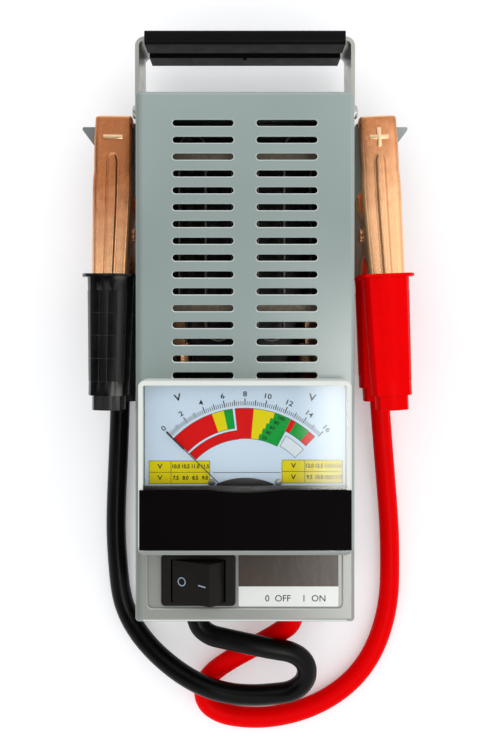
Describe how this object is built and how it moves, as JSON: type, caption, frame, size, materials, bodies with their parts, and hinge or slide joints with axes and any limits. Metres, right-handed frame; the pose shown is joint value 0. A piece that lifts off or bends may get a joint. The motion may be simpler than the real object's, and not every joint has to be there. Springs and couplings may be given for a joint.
{
  "type": "battery tester",
  "caption": "Hand-held battery load tester with a slotted steel case, carrying handle, pointer voltmeter, rocker switch and test leads whose spring clamps park on side ears.",
  "frame": {"origin": "on the flat back of the case, midway between the bottom edge of the case and the top of the handle, where the tester lies on a surface", "axes": "+X across the front panel to the right as the dial is read, +Y along the case towards the carrying handle, +Z out of the front panel"},
  "size_m": [0.1759, 0.3821, 0.08],
  "materials": {
    "case_paint": "semi-gloss grey-green enamel",
    "bare_steel": "zinc plated",
    "black_plastic": "satin",
    "gloss_black": "gloss",
    "label_film": "printed film",
    "clear_cover": "clear moulded acrylic",
    "dial_enamel": "white printed sheet",
    "grey_plastic": "satin",
    "brass": "plain",
    "copper": "copper plated",
    "nichrome": "heat darkened",
    "mica_board": "pressed mica",
    "dark_iron": "blackened",
    "spring_steel": "bright",
    "black_rubber": "smooth PVC",
    "red_rubber": "smooth PVC"
  },
  "bodies": {
    "case": {"front_cover": "case_paint", "rear_cover": "case_paint", "cover_screws": "bare_steel", "handle_strap": "bare_steel", "handle_grip": "black_plastic", "handle_screws": "bare_steel", "handle_nuts": "bare_steel", "panel_label": "label_film", "meter_cover": "clear_cover", "meter_mask": "gloss_black", "movement_shelf": "black_plastic", "movement_cap": "black_plastic", "dial_plate": "dial_enamel", "dial_screws": "brass", "meter_body": "grey_plastic", "meter_studs": "brass", "meter_bracket": "bare_steel", "meter_nuts": "brass", "movement_frame": "grey_plastic", "magnet_yoke": "dark_iron", "iron_core": "dark_iron", "upper_bridge": "brass", "hair_spring": "brass", "switch_housing": "black_plastic", "common_terminal": "brass", "contact_terminal": "brass", "load_bars": "mica_board", "support_posts": "bare_steel", "post_screws": "bare_steel", "load_ribbon": "nichrome", "load_lugs": "copper", "switch_lead": "black_rubber", "switch_lugs": "copper", "black_inner_lead": "black_rubber", "red_inner_lead": "red_rubber", "black_meter_wire": "black_rubber", "red_meter_wire": "red_rubber", "lead_grommets": "black_rubber", "black_lead": "black_rubber", "red_lead": "red_rubber", "black_lower_jaw": "copper", "black_lower_sleeve": "black_rubber", "black_pivot_pin": "bare_steel", "black_clamp_spring": "spring_steel", "black_crimp": "copper", "red_lower_jaw": "copper", "red_lower_sleeve": "red_rubber", "red_pivot_pin": "bare_steel", "red_clamp_spring": "spring_steel", "red_crimp": "copper"},
    "needle_arm": {"needle": "gloss_black", "moving_coil": "copper"},
    "rocker": {"switch_rocker": "black_plastic", "rocker_plunger": "brass", "plunger_spring": "spring_steel"},
    "contact": {"contact_bar": "copper"},
    "black_clamp_arm": {"black_upper_jaw": "copper", "black_upper_sleeve": "black_rubber"},
    "red_clamp_arm": {"red_upper_jaw": "copper", "red_upper_sleeve": "red_rubber"}
  },
  "joints": [
    {"name": "needle_sweep", "type": "hinge", "parent": "case", "child": "needle_arm", "pos_m": [0, -0.091, 0.0724], "axis": [0, 0, -1], "range_deg": [0, 90], "stiffness_Nm_per_rad": 0.0001},
    {"name": "rocker_press", "type": "hinge", "parent": "case", "child": "rocker", "pos_m": [-0.0233, -0.1289, 0.0613], "axis": [0, 1, 0], "range_deg": [0, 30], "stiffness_Nm_per_rad": 0.12, "springref_deg": -14.32},
    {"name": "contact_rock", "type": "hinge", "parent": "case", "child": "contact", "pos_m": [-0.0233, -0.1289, 0.046], "axis": [0, 1, 0], "range_deg": [-12.1, 0]},
    {"name": "black_clamp_squeeze", "type": "hinge", "parent": "case", "child": "black_clamp_arm", "pos_m": [-0.0697, 0.047, 0.0324], "axis": [0.9999, -0.0105, 0], "range_deg": [0, 16], "stiffness_Nm_per_rad": 1.2, "springref_deg": -28.65, "deforming": ["black_clamp_spring"]},
    {"name": "red_clamp_squeeze", "type": "hinge", "parent": "case", "child": "red_clamp_arm", "pos_m": [0.0724, 0.047, 0.0324], "axis": [0.9991, 0.0419, 0], "range_deg": [0, 16], "stiffness_Nm_per_rad": 1.2, "springref_deg": -28.65, "deforming": ["red_clamp_spring"]}
  ],
  "couplings": [
    {"joint": "contact_rock", "follows": "rocker_press", "ratio": -0.4}
  ]
}
